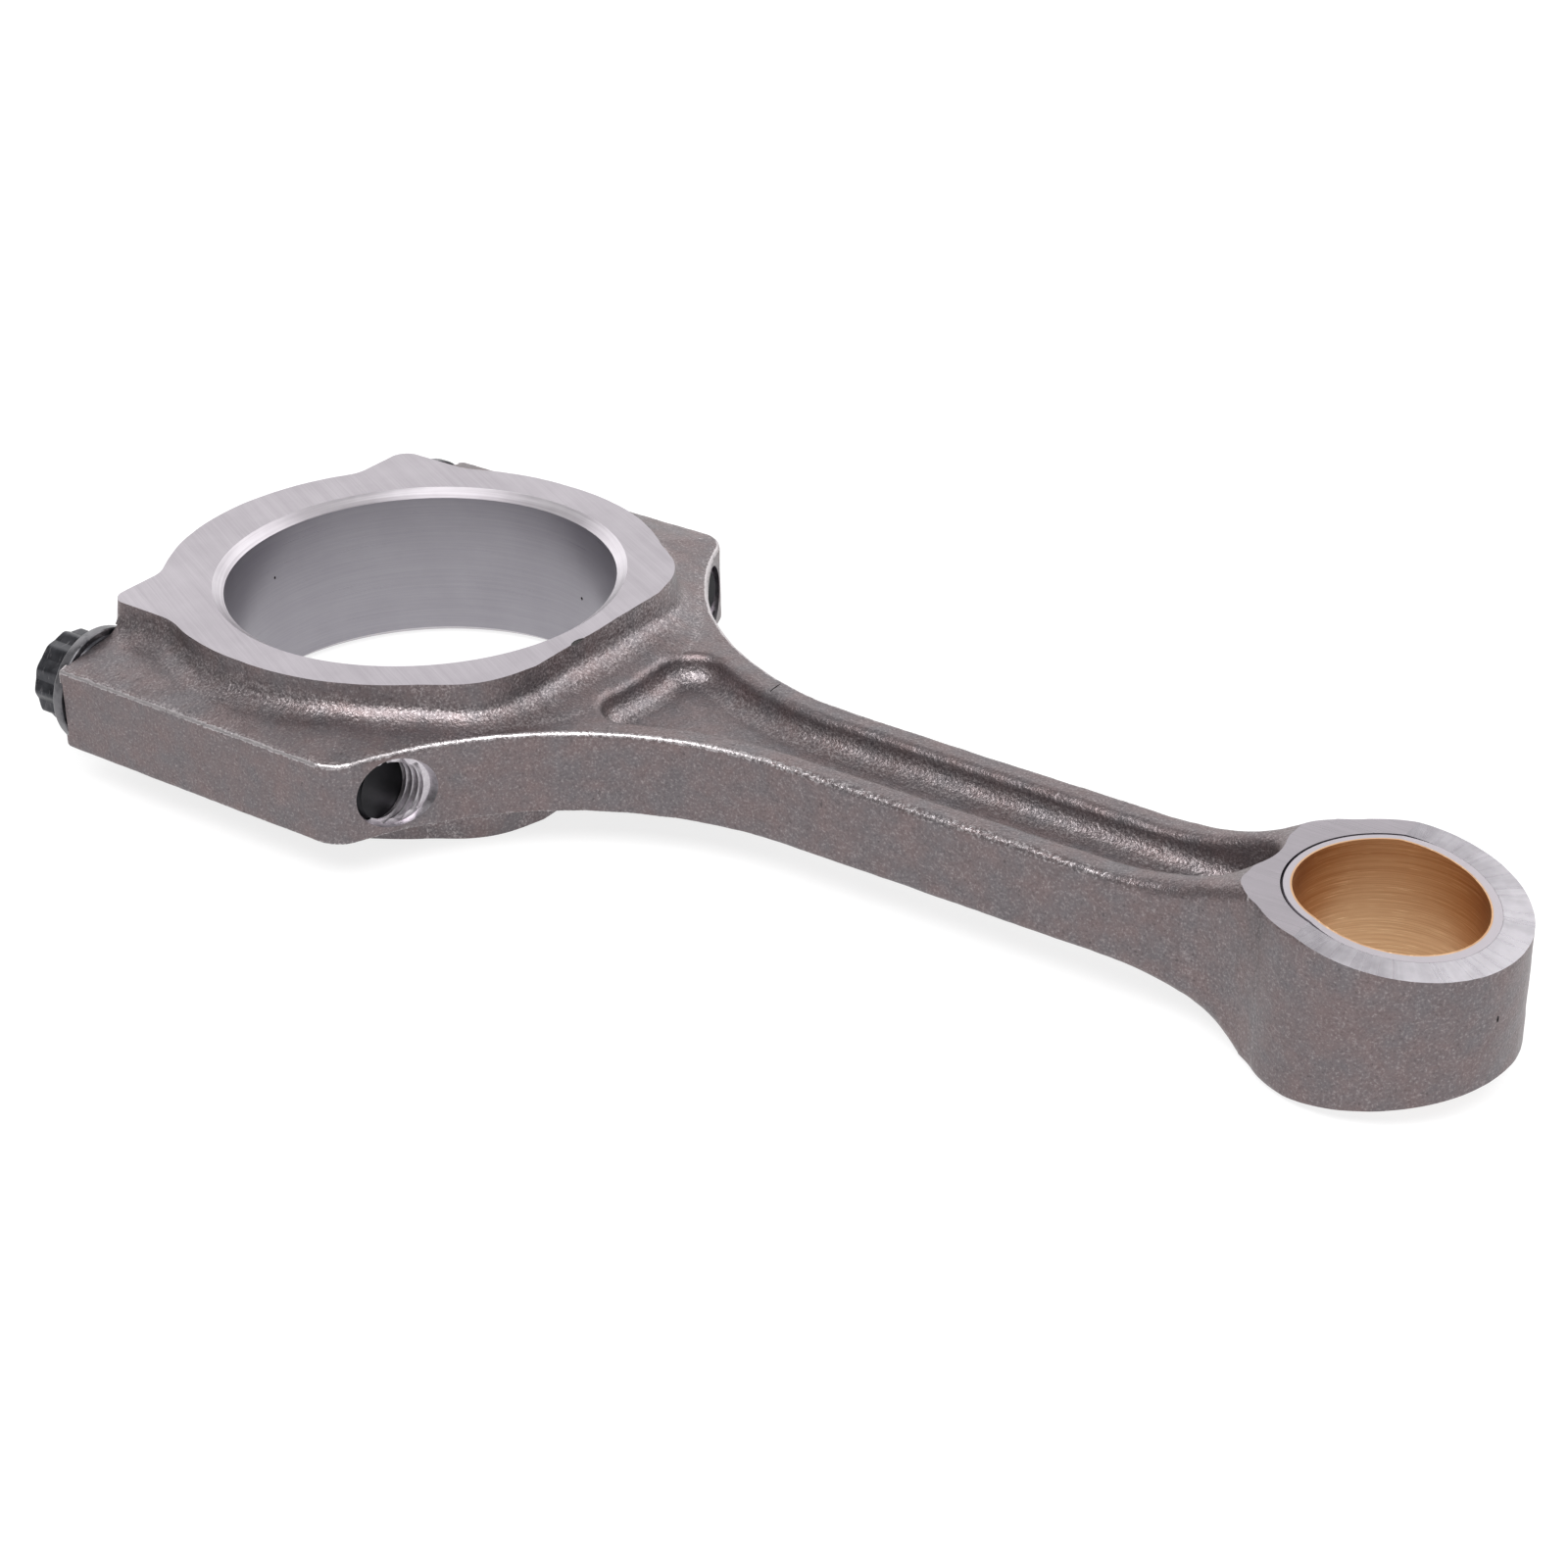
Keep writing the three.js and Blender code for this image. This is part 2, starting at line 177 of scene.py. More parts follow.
# Camera and light, in metres and degrees
CAMERA_AIM = (0.0004, -0.0037, 0.01115)
CAMERA_DISTANCE = 0.4257
CAMERA_AZIMUTH = 36.2
CAMERA_ELEVATION = 29.13
CAMERA_ROLL = -0.88
CAMERA_LENS = 78.06
WORLD_LIGHT = 0.3
FLOOR_GLOW = 0.8               # light of its own, as on a light table
FLOOR_TONE = 0.2
FLOOR_HALF = 12.0
FLOOR_DEPTH = 0.02
LIGHTS = [                     # name, distance, elevation, turn from the camera, size, radiance
    ("key", 1.0, 61, -14, (1.1, 0.5), 7.2),
    ("side", 1.1, 40, 108, (0.9, 0.5), 3.5),
    ("far_side", 1.1, 24, -138, (0.7, 0.5), 0.8),
    ("backdrop", 1.2, 28, 180, (2.4, 1.0), 1.15),
]

FORGING_STEP = 0.36
SETTLE_PASSES = 3
BORE_SEGMENTS = 192
BOLT_SEGMENTS = 72
FAR = 80.0                     # beyond every feature, for cutters
SEED = 17

MM = 0.001
pin_low, pin_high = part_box("small_end_bush")
PIN_CENTRE = (pin_low + pin_high) / 2
CRANK_CENTRE = PIN_CENTRE - Vector((CENTRES * MM, 0, 0))
TO_FRAME = Matrix.Translation(CRANK_CENTRE) @ Matrix.Scale(MM, 4)


# ---- Distance functions of the raw forging ----
# Each takes x, y and z arrays with y and z at or above zero, and is negative inside.


def smooth_max(a, b, radius):
    """Intersection of two shapes with their common edge rounded to radius."""
    outer = np.hypot(np.maximum(a + radius, 0), np.maximum(b + radius, 0))
    return np.minimum(np.maximum(a, b), -radius) + outer


def smooth_min(a, b, radius):
    """Union of two shapes with a fillet of radius between them."""
    return -smooth_max(-a, -b, radius)


def smooth_step(value, start, end):
    t = np.clip((value - start) / (end - start), 0, 1)
    return t * t * (3 - 2 * t)


def rounded_box(x, y, low, high, half, radius):
    across = np.abs(x - (low + high) / 2) - (high - low) / 2 + radius
    along = y - half + radius
    outside = np.hypot(np.maximum(across, 0), np.maximum(along, 0))
    return outside + np.minimum(np.maximum(across, along), 0) - radius


def plan(x, y):
    """The rod seen along its bores, without the ring."""
    flank = FLANK_R - np.hypot(x - FLANK_X, y - SHANK_HALF_WIDTH - FLANK_R)
    fillet_y = SHANK_HALF_WIDTH + EYE_FILLET_R
    fillet = EYE_FILLET_R - np.hypot(x - EYE_FILLET_X, y - fillet_y)
    eye = np.hypot(x - CENTRES, y) - EYE_R
    beyond_fillet = (x - CENTRES) * fillet_y + y * (CENTRES - EYE_FILLET_X) > 0
    small_end = np.where(beyond_fillet, eye, fillet)
    shank = np.where(x < EYE_FILLET_X, y - SHANK_HALF_WIDTH, small_end)
    sides = np.where(x < FLANK_X, flank, shank)
    return smooth_max(sides, y - HALF_WIDTH, SHOULDER_CORNER_R)


def ring_plan(x, y):
    ring = np.maximum(np.hypot(x, y) - RING_R, x - RING_STOP_X)
    crown = np.hypot(x + CROWN_SHIFT, y) - RING_R
    wings = rounded_box(x, y, WING_X, -WING_X, WING_HALF, WING_CORNER_R)
    wings = np.maximum(wings, x)
    lobes = rounded_box(x, y, -LOBE_X, LOBE_X, LOBE_HALF, LOBE_CORNER_R)
    lobes = np.maximum(lobes, -x)
    return smooth_min(smooth_min(np.minimum(ring, crown), lobes, RING_BLEND), wings, RING_BLEND)


def shank_top(x, z):
    """Height of the shank, which sweeps up to the small end."""
    flare = FLARE_R - np.hypot(x - FLARE_X, z - SHANK_HALF - FLARE_R)
    top = SMALL_HALF + STOCK
    level_x = FLARE_X + math.sqrt(FLARE_R**2 - (SHANK_HALF + FLARE_R - top) ** 2)
    return np.where(x < FLARE_X, z - SHANK_HALF, np.where(x < level_x, flare, z - top))


def shoulder_top(x, z, outline, ring):
    """Raised top of the bolt shoulders: it slopes to the outer edge, the shank and out from the ring."""
    border = (z - SIDE_HALF) * math.cos(BORDER_SLOPE) + outline * math.sin(BORDER_SLOPE)
    fall = (z - SHOULDER_HALF) * math.cos(FOOT_FALL) + (ring - FOOT_REACH) * math.sin(FOOT_FALL)
    end = (z - SHOULDER_HALF) * math.cos(SHOULDER_FALL) + (x - SHOULDER_END_X) * math.sin(SHOULDER_FALL)
    inner = smooth_min(fall, end, BORDER_R)
    return smooth_max(smooth_max(z - SHOULDER_HALF, border, BORDER_R), inner, BORDER_R)


def pocket_corner():
    """Centre of the pocket's rounded corner beside the ring, which touches the end wall and the side wall."""
    flank = Vector((FLANK_X, SHANK_HALF_WIDTH + FLANK_R))
    from_ring = POCKET_END_R + POCKET_CORNER_R
    from_flank = FLANK_R + RAIL + POCKET_CORNER_R
    along = (from_ring**2 - from_flank**2 + flank.length_squared) / (2 * flank.length)
    across = math.sqrt(from_ring**2 - along**2)
    ahead = flank.normalized()
    return ahead * along + Vector((ahead.y, -ahead.x)) * across


def pocket(x, y, z):
    side_r = FLANK_R + RAIL
    half_width = SHANK_HALF_WIDTH - RAIL
    flank = side_r - np.hypot(x - FLANK_X, y - SHANK_HALF_WIDTH - FLANK_R)
    narrowing = np.clip((x - FLANK_X) / (POCKET_TIP_X - FLANK_X), 0, 1)
    shank = y - half_width + (half_width - POCKET_TIP_R) * narrowing
    tip = np.hypot(x - POCKET_TIP_X, y) - POCKET_TIP_R
    sides = np.where(x < FLANK_X, flank, np.where(x < POCKET_TIP_X, shank, tip))
    walls = np.maximum(sides, POCKET_END_R - np.hypot(x, y))
    corner = pocket_corner()
    u, v = x - corner.x, y - corner.y
    past_side = (FLANK_X - corner.x) * v - (SHANK_HALF_WIDTH + FLANK_R - corner.y) * u > 0
    past_end = u * -corner.y + v * corner.x > 0
    outline = np.where(past_side & past_end, np.hypot(u, v) - POCKET_CORNER_R, walls)
    walls = outline + POCKET_DRAFT * (SHANK_HALF - z)
    return smooth_max(walls, WEB_HALF - z, POCKET_FLOOR_R)


def blank(x, y, z):
    """The forging before its pockets."""
    outline = plan(x, y)
    ring = ring_plan(x, y)
    edge = EDGE_R + SHANK_EDGE_R * smooth_step(x, *SHANK_EDGE_X)
    edge = edge + FLARE_EDGE_R * smooth_step(x, FLARE_X - 2, EYE_FILLET_X + 6)
    top = np.minimum(shank_top(x, z), shoulder_top(x, z, outline, ring))
    blade = smooth_max(outline, top, edge)
    wall = ring - RING_DRAFT * (BIG_HALF - z)
    ring_body = np.maximum(wall, z - BIG_HALF - STOCK)
    body = smooth_min(blade, ring_body, RING_FOOT_R)
    return np.maximum(body, np.minimum(SEAT_X - SEAT_STOCK - x, wall))


def mirrored_blank(points):
    return blank(points[:, 0], np.abs(points[:, 1]), np.abs(points[:, 2]))


def mirrored_forging(points):
    x, y, z = points[:, 0], np.abs(points[:, 1]), np.abs(points[:, 2])
    return smooth_max(blank(x, y, z), -pocket(x, y, z), POCKET_RIM_R)


def waves(points, length, count, seed):
    """Smooth seeded unevenness between about -1 and 1, with bumps about as long as length."""
    rng = np.random.default_rng(seed)
    directions = rng.normal(size=(count, 3))
    directions *= 2 * math.pi / length / np.linalg.norm(directions, axis=1)[:, None]
    directions *= rng.uniform(0.6, 1.4, size=(count, 1))
    phases = rng.uniform(0, 2 * math.pi, count)
    return np.sin(points @ directions.T + phases).sum(axis=1) * math.sqrt(2 / count) / 2


def unevenness(points, kinds, seed):
    """Sum of waves of several kinds, each [length, count, share] with a seed of its own."""
    total = 0
    for extra, (length, count, share) in enumerate(kinds):
        total = total + share * waves(points, length, count, seed + extra)
    return total


# ---- Meshes ----


def gradient(field, points, reach=0.01):
    steps = np.eye(3) * reach
    return np.stack([(field(points + s) - field(points - s)) / (2 * reach) for s in steps], axis=1)


def surface_net(field, low, high, step):
    """Closed quad mesh of the surface where field is zero, with its vertices settled onto that surface."""
    axes = [np.arange(a, b + step, step) for a, b in zip(low, high)]
    values = field(np.stack(np.meshgrid(*axes, indexing="ij"), axis=-1).reshape(-1, 3))
    values = values.reshape([len(a) for a in axes])
    inside = values < 0
    size = np.array(values.shape) - 1
    corners = [np.array(c) for c in np.ndindex(2, 2, 2)]

    def shifted(array, corner):
        return array[tuple(slice(c, c + n) for c, n in zip(corner, size))]

    filled = sum(shifted(inside, c).astype(np.uint8) for c in corners)
    active = (filled > 0) & (filled < 8)
    cells = np.argwhere(active)
    number = np.full(active.shape, -1, np.int64)
    number[active] = np.arange(len(cells))

    total = np.zeros((len(cells), 3))
    crossings = np.zeros(len(cells))
    for axis in range(3):
        along = np.eye(3, dtype=int)[axis]
        for corner in corners:
            if corner[axis]:
                continue
            start = values[tuple((cells + corner).T)]
            end = values[tuple((cells + corner + along).T)]
            crossed = (start < 0) != (end < 0)
            share = np.where(crossed, start / np.where(crossed, start - end, 1), 0)
            place = cells + corner + share[:, None] * along
            total += np.where(crossed[:, None], place, 0)
            crossings += crossed
    points = np.array(low) + step * total / crossings[:, None]

    quads = []
    for axis in range(3):
        one, two = [(1, 2), (2, 0), (0, 1)][axis]
        first = np.take(inside, range(size[axis]), axis)
        second = np.take(inside, range(1, size[axis] + 1), axis)
        edges = np.argwhere(first != second)
        back_one = np.eye(3, dtype=int)[one]
        back_two = np.eye(3, dtype=int)[two]
        ring = [edges - back_one - back_two, edges - back_two, edges, edges - back_one]
        quad = np.stack([number[tuple(r.T)] for r in ring], axis=1)
        leaving = first[tuple(edges.T)]
        quads.append(np.where(leaving[:, None], quad, quad[:, ::-1]))
    for _ in range(SETTLE_PASSES):
        slope = gradient(field, points)
        points -= slope * (field(points) / (slope**2).sum(axis=1))[:, None]
    return points, np.concatenate(quads)


def mesh_from(name, points, faces, materials, indices=None):
    """A mesh object from arrays; faces may be one array of equal faces or a list of mixed ones."""
    mesh = bpy.data.meshes.new(name)
    sizes = [len(f) for f in faces]
    corners = np.concatenate([np.asarray(f) for f in faces]) if isinstance(faces, list) else faces.ravel()
    mesh.vertices.add(len(points))
    mesh.vertices.foreach_set("co", np.asarray(points, np.float32).ravel())
    mesh.loops.add(len(corners))
    mesh.loops.foreach_set("vertex_index", corners.astype(np.int32))
    mesh.polygons.add(len(sizes))
    mesh.polygons.foreach_set("loop_start", np.concatenate([[0], np.cumsum(sizes)[:-1]]).astype(np.int32))
    for material in materials:
        mesh.materials.append(material)
    if indices is not None:
        mesh.polygons.foreach_set("material_index", np.asarray(indices, np.int32))
    mesh.update(calc_edges=True)
    mesh.validate()
    piece = bpy.data.objects.new(name, mesh)
    bpy.context.scene.collection.objects.link(piece)
    return piece


def combine(target, operand, operation):
    """Boolean of two solids; the operand is used up and its materials come along."""
    modifier = target.modifiers.new("combine", "BOOLEAN")
    modifier.operation = operation
    modifier.solver = "MANIFOLD"
    modifier.material_mode = "TRANSFER"
    modifier.object = operand
    bpy.context.view_layer.update()
    evaluated = target.evaluated_get(bpy.context.evaluated_depsgraph_get())
    mesh = bpy.data.meshes.new_from_object(evaluated)
    target.modifiers.clear()
    target.data = mesh
    used = operand.data
    bpy.data.objects.remove(operand)
    bpy.data.meshes.remove(used)
    return target


def union(solids):
    joined = solids[0]
    for solid in solids[1:]:
        combine(joined, solid, "UNION")
    return joined


def copied(piece):
    twin = piece.copy()
    twin.data = piece.data.copy()
    bpy.context.scene.collection.objects.link(twin)
    return twin


def turned(name, profile, materials, segments, to_place):
    """Solid turned about Z; profile runs [radius, height] up from the axis and back to it.

    materials names one material for each stretch of the profile."""
    angles = np.linspace(0, 2 * math.pi, segments, endpoint=False)
    points, faces, indices = [], [], []
    rings = []
    for radius, height in profile:
        if radius < 1e-6:
            rings.append([len(points)] * segments)
            points.append((0, 0, height))
            continue
        rings.append(list(range(len(points), len(points) + segments)))
        points += [(radius * math.cos(a), radius * math.sin(a), height) for a in angles]
    kinds = list(dict.fromkeys(materials))
    for level, material in enumerate(materials):
        low, high = rings[level], rings[(level + 1) % len(rings)]
        for i in range(segments):
            j = (i + 1) % segments
            face = list(dict.fromkeys([low[i], low[j], high[j], high[i]]))
            faces.append(np.array(face))
            indices.append(kinds.index(material))
    piece = mesh_from(name, points, faces, kinds, indices)
    piece.data.transform(to_place)
    return piece


def prism(name, outline, low, high, materials, to_place):
    """Solid between two levels of one outline; materials has one for the sides and one for the ends."""
    count = len(outline)
    points = [(x, y, low) for x, y in outline] + [(x, y, high) for x, y in outline]
    sides = [np.array([i, (i + 1) % count, count + (i + 1) % count, count + i]) for i in range(count)]
    ends = [np.arange(count)[::-1], np.arange(count) + count]
    indices = [0] * count + [len(materials) - 1] * 2
    piece = mesh_from(name, points, sides + ends, materials, indices)
    piece.data.transform(to_place)
    return piece


UPRIGHT = Matrix.Identity(4)
AT_PIN = Matrix.Translation((CENTRES, 0, 0))
SIDEWAYS = Matrix(((1, 0, 0, 0), (0, 0, -1, 0), (0, 1, 0, 0), (0, 0, 0, 1)))    # outline's y becomes z


def bolt_axis(side):
    """Turns a solid made about Z so that its Z runs along X, on one bolt's axis."""
    turn = Matrix(((0, 0, 1, 0), (1, 0, 0, 0), (0, 1, 0, 0), (0, 0, 0, 1)))
    return Matrix.Translation((0, side * BOLT_Y, 0)) @ turn


# ---- Cutters ----


def side_prism(outline, side, material):
    """Cutter across the whole rod, from an outline of [x, z] above the middle plane."""
    points = [(x, side * z) for x, z in outline]
    return prism("slab", points if side > 0 else points[::-1], -FAR, FAR, [material], SIDEWAYS)


def face_cutters(materials):
    """Stock above the thrust faces and above the small end's flat face, on both sides."""
    middle = (LOBE_X + FLARE_X) / 2
    top = BIG_HALF + 2 * STOCK
    slab = [(-FAR, BIG_HALF), (middle, BIG_HALF), (middle, top), (-FAR, top)]
    level = [(middle + 1, SMALL_HALF), (TAPER_X, SMALL_HALF), (TAPER_X, top), (middle + 1, top)]
    cutters = [side_prism(slab, side, materials["ground"]) for side in (-1, 1)]
    return cutters + [side_prism(level, side, materials["flat"]) for side in (-1, 1)]


def taper_cutters(material):
    """Stock above the small end's tapered faces."""
    top = BIG_HALF + 2 * STOCK
    end_x = CENTRES + EYE_R + 4
    end_z = SMALL_HALF - TAPER_SLOPE * (end_x - TAPER_X)
    slope = [(TAPER_X, SMALL_HALF), (end_x, end_z), (end_x, top), (TAPER_X, top)]
    return [side_prism(slope, side, material) for side in (-1, 1)]


def crank_bore_cutter(materials):
    bore, chamfer = materials["bore"], materials["chamfer"]
    rim = BIG_HALF - CRANK_CHAMFER_Z
    wide = CRANK_BORE_R + CRANK_CHAMFER_R * (1 + CRANK_OVERCUT / CRANK_CHAMFER_Z)
    top = BIG_HALF + CRANK_OVERCUT
    profile = [(0, -top), (wide, -top), (CRANK_BORE_R, -rim), (CRANK_BORE_R, rim), (wide, top), (0, top)]
    kinds = [chamfer, chamfer, bore, chamfer, chamfer]
    return turned("crank_bore", profile, kinds, BORE_SEGMENTS, UPRIGHT)


def bush_housing_cutter(materials):
    radius = PIN_BORE_R + BUSH_WALL + BUSH_FIT
    profile = [(0, -FAR), (radius, -FAR), (radius, FAR), (0, FAR)]
    return turned("bush_housing", profile, [materials["bore"]] * 3, BORE_SEGMENTS, AT_PIN)


def thread(name, start, end, minor, major, material, side):
    """Right-hand screw thread about a bolt axis, overlong at both ends."""
    flank = (major - minor) * math.tan(THREAD_FLANK) / THREAD_PITCH
    stops = [(0, minor), (flank, major), (flank + THREAD_CREST, major), (2 * flank + THREAD_CREST, minor)]
    turns = math.ceil((end - start) / THREAD_PITCH) + 3
    first = math.floor(start / THREAD_PITCH) - 2
    rows = [(THREAD_PITCH * (first + turn + part), radius) for turn in range(turns) for part, radius in stops]
    points = []
    for height, radius in rows:
        for step in range(BOLT_SEGMENTS):
            share = step / BOLT_SEGMENTS
            angle = 2 * math.pi * share
            points.append((radius * math.cos(angle), radius * math.sin(angle), height + THREAD_PITCH * share))
    points += [(0, 0, rows[0][0] + THREAD_PITCH / 2), (0, 0, rows[-1][0] + THREAD_PITCH / 2)]
    top, per_turn, last = len(rows) - 1, len(stops), BOLT_SEGMENTS - 1

    def index(row, step):
        return (row + per_turn) * BOLT_SEGMENTS if step > last else row * BOLT_SEGMENTS + step

    faces = []
    for step in range(BOLT_SEGMENTS):
        for row in range(top - (per_turn if step == last else 0)):
            corners = [index(row, step), index(row, step + 1), index(row + 1, step + 1), index(row + 1, step)]
            faces.append(np.array(corners))
    around = range(BOLT_SEGMENTS)
    start_loop = [index(0, step) for step in around]
    start_loop += [index(row, 0) for row in range(per_turn, 0, -1)]
    end_loop = [index(top, step) for step in around]
    end_loop += [index(top - row, last) for row in range(1, per_turn + 1)]
    for loop, centre in ((start_loop[::-1], len(points) - 2), (end_loop, len(points) - 1)):
        for vertex, following in zip(loop, loop[1:] + loop[:1]):
            faces.append(np.array([centre, vertex, following]))
    piece = mesh_from(name, points, faces, [material])
    piece.data.transform(bolt_axis(side))
    return piece


def beyond_flank(side, material):
    """Block outside a plane that runs MOUTH_DEPTH below the flank where a bolt's axis leaves it."""
    rise = SHANK_HALF_WIDTH + FLANK_R - BOLT_Y
    run = math.sqrt(FLANK_R**2 - rise**2)
    away = Vector((run, side * rise, 0)) / FLANK_R
    start = Vector((FLANK_X - run, side * BOLT_Y, 0)) - MOUTH_DEPTH * away
    outline = [(0, -FAR), (FAR, -FAR), (FAR, FAR), (0, FAR)]
    place = Matrix.Translation(start) @ Matrix.Rotation(math.atan2(away.y, away.x), 4, "Z")
    return prism("beyond_flank", outline, -FAR, FAR, [material], place)


def bolt_hole_cutter(side, materials):
    """Tapped hole in the rod, clearance hole in the cap and the spotface under the bolt's flange."""
    bore, cut = materials["bore"], materials["cut"]
    place = bolt_axis(side)
    clearance = [(0, -FAR), (BOLT_HOLE_R, -FAR), (BOLT_HOLE_R, THREAD_START_X), (0, THREAD_START_X)]
    drilled = [(0, 0), (THREAD_MINOR_R, 0), (THREAD_MINOR_R, FAR), (0, FAR)]
    mouth = [(0, 0), (MOUTH_R, 0), (MOUTH_R, FAR), (0, FAR)]
    spotface = [(0, -FAR), (SPOTFACE_R, -FAR), (SPOTFACE_R, SEAT_X), (0, SEAT_X)]
    tapped = thread("tapped", THREAD_START_X, FLANK_X / 2, THREAD_MINOR_R, THREAD_MAJOR_R, cut, side)
    combine(tapped, beyond_flank(side, cut), "DIFFERENCE")
    relief = turned("relief", mouth, [cut] * 3, BORE_SEGMENTS, place)
    combine(relief, beyond_flank(side, cut), "INTERSECT")
    solids = [
        turned("clearance", clearance, [bore] * 3, BOLT_SEGMENTS, place),
        tapped,
        turned("drilled", drilled, [cut] * 3, BOLT_SEGMENTS, place),
        relief,
        turned("spotface", spotface, [materials["ground"]] * 3, BOLT_SEGMENTS, place),
    ]
    return union(solids)


def dent_cutters(materials):
    """Small dents and pits in the skin and the faces, each a flattened ball: [centre, half sizes]."""
    solids = []
    for centre, half in DENTS:
        dent = turned("dent", [(math.sin(a), -math.cos(a)) for a in np.linspace(0, math.pi, 9)],
                      [materials["pit"]] * 8, 12, Matrix.Diagonal((*half, 1)))
        dent.data.transform(Matrix.Translation(centre))
        solids.append(dent)
    return solids


def fracture_block(materials):
    """Solid on the rod's side of the joint, whose face carries the grain of the broken joint."""
    rng = np.random.default_rng(SEED)
    across, up = (
        np.arange(-half - FRACTURE_MARGIN, half + FRACTURE_MARGIN + 0.01, FRACTURE_STEP)
        for half in (HALF_WIDTH, BIG_HALF)
    )
    y, z = np.meshgrid(across, up, indexing="ij")
    grid = np.stack([np.zeros(y.size), y.ravel(), z.ravel()], axis=1)
    depth = FRACTURE_DEPTH * unevenness(grid, FRACTURE_WAVES, SEED)
    fade = smooth_step(SIDE_HALF + 9 - np.abs(grid[:, 2]), 3, 4.5)
    grid[:, 0] = depth * fade + rng.normal(scale=FRACTURE_DEPTH / 8, size=len(grid))
    far = grid.copy()
    far[:, 0] = FAR * 3
    rows, columns = y.shape
    number = np.arange(rows * columns).reshape(rows, columns)
    quads = np.stack([number[:-1, :-1], number[:-1, 1:], number[1:, 1:], number[1:, :-1]], axis=-1)
    quads = quads.reshape(-1, 4)
    border = np.concatenate([number[0, :-1], number[:-1, -1], number[-1, :0:-1], number[:0:-1, 0]])
    following = np.roll(border, -1)
    shift = rows * columns
    sides = np.stack([following, border, border + shift, following + shift], axis=1)
    corners = [number[0, 0], number[-1, 0], number[-1, -1], number[0, -1]]
    points = np.concatenate([grid, far])
    faces = np.concatenate([quads, quads[:, ::-1] + shift, sides])
    return mesh_from("fracture", points, faces, [materials["fracture"]])


# ---- Pieces, in the rod's own axes ----


def raw_forging(materials):
    low = (SEAT_X - CROWN_SHIFT - 8, -HALF_WIDTH - 1, -BIG_HALF - STOCK - 1)
    high = (CENTRES + EYE_R + 1, HALF_WIDTH + 1, BIG_HALF + STOCK + 1)
    points, quads = surface_net(mirrored_forging, low, high, FORGING_STEP)
    slope = gradient(mirrored_forging, points)
    out = slope / np.linalg.norm(slope, axis=1)[:, None]
    points += out * (SKIN_WAVE * unevenness(points, SKIN_WAVES, SEED + 2))[:, None]
    return mesh_from("forging", points, quads, [materials["forged"]])


def rod_and_cap(materials):
    """The forging after machining, broken in two across the crank bore."""
    cuts = face_cutters(materials) + taper_cutters(materials["taper"])
    cuts += [crank_bore_cutter(materials), bush_housing_cutter(materials)]
    cuts += [bolt_hole_cutter(side, materials) for side in (-1, 1)]
    cuts += dent_cutters(materials)
    rod = combine(raw_forging(materials), union(cuts), "DIFFERENCE")
    cap = copied(rod)
    block = fracture_block(materials)
    combine(cap, copied(block), "DIFFERENCE")
    combine(rod, block, "INTERSECT")
    return rod, cap


def bush(materials):
    """Tube with eased outer ends, trimmed to the small end's tapered faces."""
    outer, lead, half = PIN_BORE_R + BUSH_WALL, BUSH_LEAD, SMALL_HALF
    profile = [
        (outer - lead, -half), (outer, -half + 2 * lead), (outer, half - 2 * lead),
        (outer - lead, half), (PIN_BORE_R, half), (PIN_BORE_R, -half),
    ]
    tube = turned("bush", profile, [materials["bush"]] * 6, BORE_SEGMENTS, AT_PIN)
    return combine(tube, union(taper_cutters(materials["bush"])), "DIFFERENCE")


def double_hexagon(flats):
    """Outline of a twelve-point head with its points slightly blunted."""
    half_side = math.pi / 6        # angle from the middle of a hexagon's side to its corner
    outline = []
    for angle in np.radians(np.arange(0, 360, HEAD_STEP)):
        turns = [(angle + start) % (2 * half_side) - half_side for start in (0, half_side)]
        radius = max(flats / 2 / math.cos(turn) for turn in turns)
        radius = min(radius, flats / 2 / math.cos(half_side) - HEAD_BLUNT)
        outline.append((radius * math.cos(angle), radius * math.sin(angle)))
    return outline


